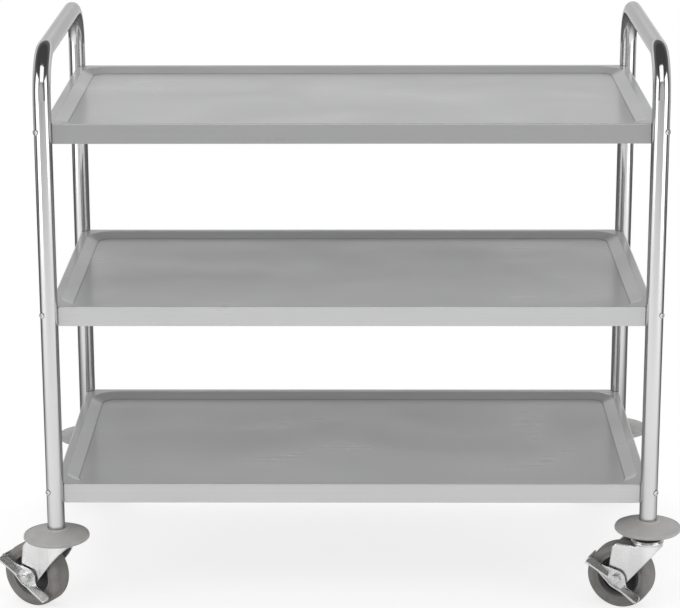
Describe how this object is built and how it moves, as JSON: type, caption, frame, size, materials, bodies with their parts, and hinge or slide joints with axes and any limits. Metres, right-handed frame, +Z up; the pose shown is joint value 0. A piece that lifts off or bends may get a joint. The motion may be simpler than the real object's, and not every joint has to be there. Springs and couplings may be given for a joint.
{
  "type": "serving trolley",
  "caption": "Serving trolley with bent-tube end frames, pressed steel trays, round bumper discs and swivel casters, the front ones with toe brakes.",
  "frame": {"origin": "on the floor, midway between the axes of the legs", "axes": "+X to the trolley's right along its length, +Y from the front towards the back, +Z up; the casters with brakes are at the front"},
  "size_m": [0.9879, 0.549, 0.822],
  "materials": {
    "polished_tube": "mirror-polished stainless tube",
    "brushed_tray": "stainless sheet brushed along its length",
    "bumper_rubber": "matte warm grey",
    "plug_plastic": "matte",
    "tyre_rubber": "matte grey-brown rubber",
    "wheel_plastic": "dark moulded plastic",
    "bright_plate": "bright plated pressed steel",
    "zinc_steel": "zinc-plated steel",
    "hardware_steel": "plated steel"
  },
  "bodies": {
    "trolley": {"bottom_tray": "brushed_tray", "bottom_tray_channel": "brushed_tray", "bottom_tray_nuts": "hardware_steel", "bottom_tray_screws": "hardware_steel", "bumper_front_left": "bumper_rubber", "bumper_front_right": "bumper_rubber", "bumper_rear_left": "bumper_rubber", "bumper_rear_right": "bumper_rubber", "caster_stem_front_left": "zinc_steel", "caster_stem_front_right": "zinc_steel", "caster_stem_rear_left": "zinc_steel", "caster_stem_rear_right": "zinc_steel", "left_end_frame": "polished_tube", "leg_plug_front_left": "plug_plastic", "leg_plug_front_right": "plug_plastic", "leg_plug_rear_left": "plug_plastic", "leg_plug_rear_right": "plug_plastic", "middle_tray": "brushed_tray", "middle_tray_channel": "brushed_tray", "middle_tray_nuts": "hardware_steel", "middle_tray_screws": "hardware_steel", "right_end_frame": "polished_tube", "top_tray": "brushed_tray", "top_tray_channel": "brushed_tray", "top_tray_nuts": "hardware_steel", "top_tray_screws": "hardware_steel"},
    "caster_front_left": {"axle_bolt_front_left": "hardware_steel", "axle_nut_front_left": "hardware_steel", "axle_sleeve_front_left": "hardware_steel", "brake_cam_front_left": "zinc_steel", "fork_front_left": "bright_plate", "swivel_balls_front_left": "hardware_steel"},
    "wheel_front_left": {"tyre_front_left": "tyre_rubber", "wheel_core_front_left": "wheel_plastic"},
    "lever_front_left": {"brake_lever_front_left": "bright_plate"},
    "caster_front_right": {"axle_bolt_front_right": "hardware_steel", "axle_nut_front_right": "hardware_steel", "axle_sleeve_front_right": "hardware_steel", "brake_cam_front_right": "zinc_steel", "fork_front_right": "bright_plate", "swivel_balls_front_right": "hardware_steel"},
    "wheel_front_right": {"tyre_front_right": "tyre_rubber", "wheel_core_front_right": "wheel_plastic"},
    "lever_front_right": {"brake_lever_front_right": "bright_plate"},
    "caster_rear_left": {"axle_bolt_rear_left": "hardware_steel", "axle_nut_rear_left": "hardware_steel", "axle_sleeve_rear_left": "hardware_steel", "fork_rear_left": "bright_plate", "swivel_balls_rear_left": "hardware_steel"},
    "wheel_rear_left": {"tyre_rear_left": "tyre_rubber", "wheel_core_rear_left": "wheel_plastic"},
    "caster_rear_right": {"axle_bolt_rear_right": "hardware_steel", "axle_nut_rear_right": "hardware_steel", "axle_sleeve_rear_right": "hardware_steel", "fork_rear_right": "bright_plate", "swivel_balls_rear_right": "hardware_steel"},
    "wheel_rear_right": {"tyre_rear_right": "tyre_rubber", "wheel_core_rear_right": "wheel_plastic"}
  },
  "joints": [
    {"name": "swivel_front_left", "type": "hinge", "parent": "trolley", "child": "caster_front_left", "pos_m": [-0.426, -0.227, 0.1075], "axis": [0, 0, 1], "continuous": true},
    {"name": "wheel_spin_front_left", "type": "hinge", "parent": "caster_front_left", "child": "wheel_front_left", "pos_m": [-0.45836, -0.20906, 0.0475], "axis": [-0.4848, -0.8746, 0], "continuous": true},
    {"name": "brake_front_left", "type": "hinge", "parent": "caster_front_left", "child": "lever_front_left", "pos_m": [-0.45836, -0.20906, 0.0475], "axis": [-0.4848, -0.8746, 0], "range_deg": [0, 25]},
    {"name": "swivel_front_right", "type": "hinge", "parent": "trolley", "child": "caster_front_right", "pos_m": [0.426, -0.227, 0.1075], "axis": [0, 0, 1], "continuous": true},
    {"name": "wheel_spin_front_right", "type": "hinge", "parent": "caster_front_right", "child": "wheel_front_right", "pos_m": [0.3922, -0.21195, 0.0475], "axis": [-0.4067, -0.9135, 0], "continuous": true},
    {"name": "brake_front_right", "type": "hinge", "parent": "caster_front_right", "child": "lever_front_right", "pos_m": [0.3922, -0.21195, 0.0475], "axis": [-0.4067, -0.9135, 0], "range_deg": [0, 25]},
    {"name": "swivel_rear_left", "type": "hinge", "parent": "trolley", "child": "caster_rear_left", "pos_m": [-0.426, 0.227, 0.1075], "axis": [0, 0, 1], "continuous": true},
    {"name": "wheel_spin_rear_left", "type": "hinge", "parent": "caster_rear_left", "child": "wheel_rear_left", "pos_m": [-0.39123, 0.23966, 0.0475], "axis": [-0.342, 0.9397, 0], "continuous": true},
    {"name": "swivel_rear_right", "type": "hinge", "parent": "trolley", "child": "caster_rear_right", "pos_m": [0.426, 0.227, 0.1075], "axis": [0, 0, 1], "continuous": true},
    {"name": "wheel_spin_rear_right", "type": "hinge", "parent": "caster_rear_right", "child": "wheel_rear_right", "pos_m": [0.39123, 0.23966, 0.0475], "axis": [-0.342, -0.9397, 0], "continuous": true}
  ]
}
